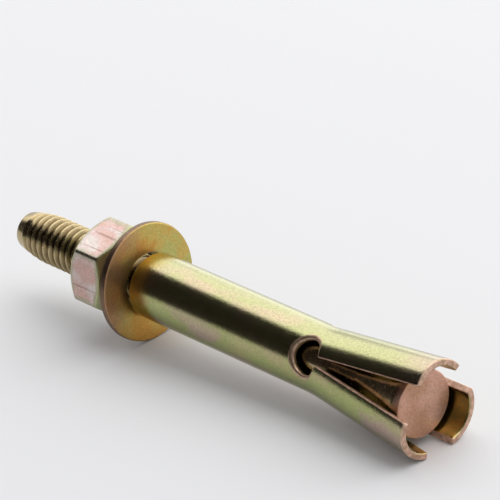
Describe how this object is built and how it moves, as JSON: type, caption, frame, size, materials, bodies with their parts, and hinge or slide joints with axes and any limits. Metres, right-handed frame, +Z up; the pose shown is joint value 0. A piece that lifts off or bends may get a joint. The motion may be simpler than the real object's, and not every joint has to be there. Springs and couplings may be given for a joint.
{
  "type": "expansion bolt",
  "caption": "Expansion bolt: a cone-headed threaded stud in a slotted, flared steel sleeve, with a flat washer and a hex nut, for fixing to masonry.",
  "frame": {"origin": "middle of the bounding box's lowest side, on the floor the bolt lies on", "axes": "+X from the thread towards the cone, +Z up; the bolt's own axis dips 2.7 degrees below +X"},
  "size_m": [0.1252, 0.0252, 0.0252],
  "materials": {
    "sleeve_zinc": "yellow chromate zinc plating, glossy",
    "stud_zinc": "yellow chromate zinc plating, glossy",
    "washer_zinc": "yellow chromate zinc plating, satin",
    "nut_zinc": "yellow chromate zinc plating, pinkish, glossy"
  },
  "bodies": {
    "sleeve": {"expansion_sleeve": "sleeve_zinc"},
    "stud": {"stud_bolt": "stud_zinc"},
    "washer": {"flat_washer": "washer_zinc"},
    "nut": {"hex_nut": "nut_zinc"}
  },
  "joints": [
    {"name": "nut_turn", "type": "hinge", "parent": "sleeve", "child": "nut", "pos_m": [-0.03274, 0, 0.01304], "axis": [-0.9989, 0, 0.0472], "range_deg": [0, 4646]},
    {"name": "stud_slide", "type": "slide", "parent": "sleeve", "child": "stud", "axis": [0.9989, 0, -0.0472], "range_m": [0, 0.02503]},
    {"name": "washer_spin", "type": "hinge", "parent": "sleeve", "child": "washer", "pos_m": [-0.02347, 0, 0.01261], "axis": [0.9976, 0.0656, 0.0229], "continuous": true}
  ],
  "couplings": [
    {"joint": "nut_turn", "follows": "stud_slide", "rad_per_m": 3238.8}
  ]
}
